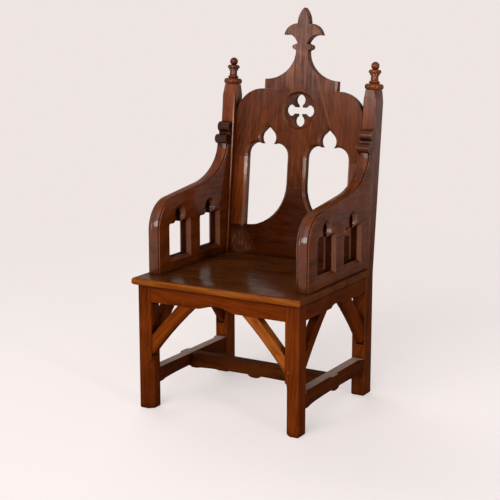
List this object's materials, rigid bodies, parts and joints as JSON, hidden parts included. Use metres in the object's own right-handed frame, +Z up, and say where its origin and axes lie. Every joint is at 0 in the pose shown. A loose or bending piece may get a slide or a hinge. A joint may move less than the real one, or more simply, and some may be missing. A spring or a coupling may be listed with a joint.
{
  "type": "gothic carver chair",
  "caption": "High-backed Gothic oak carver chair with pierced arm panels, a raked tracery back with a roundel and a fleur-de-lis crest, a solid seat and braced square legs.",
  "frame": {"origin": "on the floor, under the middle of the chair's bounding box", "axes": "+Z up; +X to the right for someone who looks at the chair's front; +Y from the front to the back"},
  "size_m": [0.611, 0.6166, 1.2844],
  "materials": {
    "frame_oak": "dark reddish stain, wax polish, worn edges",
    "brace_oak": "thinner stain, wax polish",
    "seat_oak": "dark stain, glossy from use",
    "back_oak": "dark reddish stain, wax polish, worn edges",
    "finial_oak": "turned, dark stain, polish",
    "peg_oak": "bare end grain"
  },
  "bodies": {
    "root": {"arm_dowel_left_post_high": "peg_oak", "arm_dowel_left_post_low": "peg_oak", "arm_dowel_left_seat_front": "peg_oak", "arm_dowel_left_seat_rear": "peg_oak", "arm_dowel_right_post_high": "peg_oak", "arm_dowel_right_post_low": "peg_oak", "arm_dowel_right_seat_front": "peg_oak", "arm_dowel_right_seat_rear": "peg_oak", "arm_panel_left": "frame_oak", "arm_panel_right": "frame_oak", "back_base_board": "back_oak", "back_head_board": "back_oak", "back_mullion": "back_oak", "back_post_left": "frame_oak", "back_post_right": "frame_oak", "back_rail": "frame_oak", "back_stile_left": "back_oak", "back_stile_right": "back_oak", "crest_board": "back_oak", "crest_dowel_left": "peg_oak", "crest_dowel_right": "peg_oak", "cross_stretcher": "frame_oak", "finial_left": "finial_oak", "finial_right": "finial_oak", "front_brace_left": "brace_oak", "front_brace_right": "brace_oak", "front_leg_left": "frame_oak", "front_leg_right": "frame_oak", "front_peg_left_foot": "peg_oak", "front_peg_left_top": "peg_oak", "front_peg_right_foot": "peg_oak", "front_peg_right_top": "peg_oak", "front_rail": "frame_oak", "seat_board": "seat_oak", "side_front_brace_left": "brace_oak", "side_front_brace_right": "brace_oak", "side_front_peg_left_foot": "peg_oak", "side_front_peg_left_top": "peg_oak", "side_front_peg_right_foot": "peg_oak", "side_front_peg_right_top": "peg_oak", "side_rail_left": "frame_oak", "side_rail_right": "frame_oak", "side_rear_brace_left": "brace_oak", "side_rear_brace_right": "brace_oak", "side_rear_peg_left_foot": "peg_oak", "side_rear_peg_left_top": "peg_oak", "side_rear_peg_right_foot": "peg_oak", "side_rear_peg_right_top": "peg_oak", "side_stretcher_left": "frame_oak", "side_stretcher_right": "frame_oak", "stretcher_peg_left_front": "peg_oak", "stretcher_peg_left_rear": "peg_oak", "stretcher_peg_right_front": "peg_oak", "stretcher_peg_right_rear": "peg_oak"}
  },
  "joints": []
}
